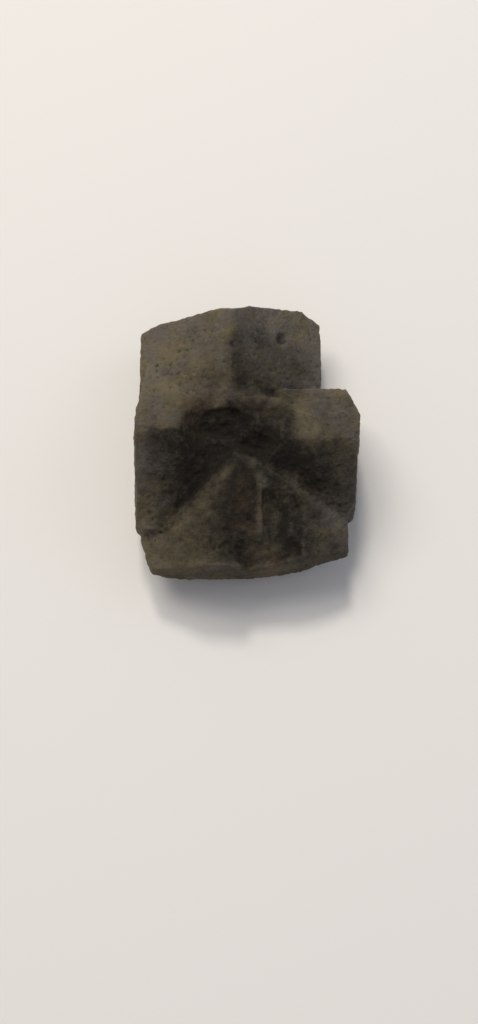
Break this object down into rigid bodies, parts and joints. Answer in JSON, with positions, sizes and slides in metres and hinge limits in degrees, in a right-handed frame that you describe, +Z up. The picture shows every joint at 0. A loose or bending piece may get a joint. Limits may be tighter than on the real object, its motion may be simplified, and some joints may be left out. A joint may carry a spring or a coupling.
{
  "type": "staurolite cross crystal",
  "caption": "Twinned mineral crystal in the shape of a plump, roofed cross that lies flat, for display, jewellery or teaching.",
  "frame": {"origin": "middle of the crystal's bounding box, on the surface that it lies on", "axes": "+Y along the longest arm, away from the arm that the groove breaks, +X along the right arm seen from above, +Z up out of the flat that it lies on"},
  "size_m": [0.0218, 0.0262, 0.01],
  "materials": {
    "staurolite": "satin"
  },
  "bodies": {
    "root": {"staurolite_cross": "staurolite"}
  },
  "joints": []
}
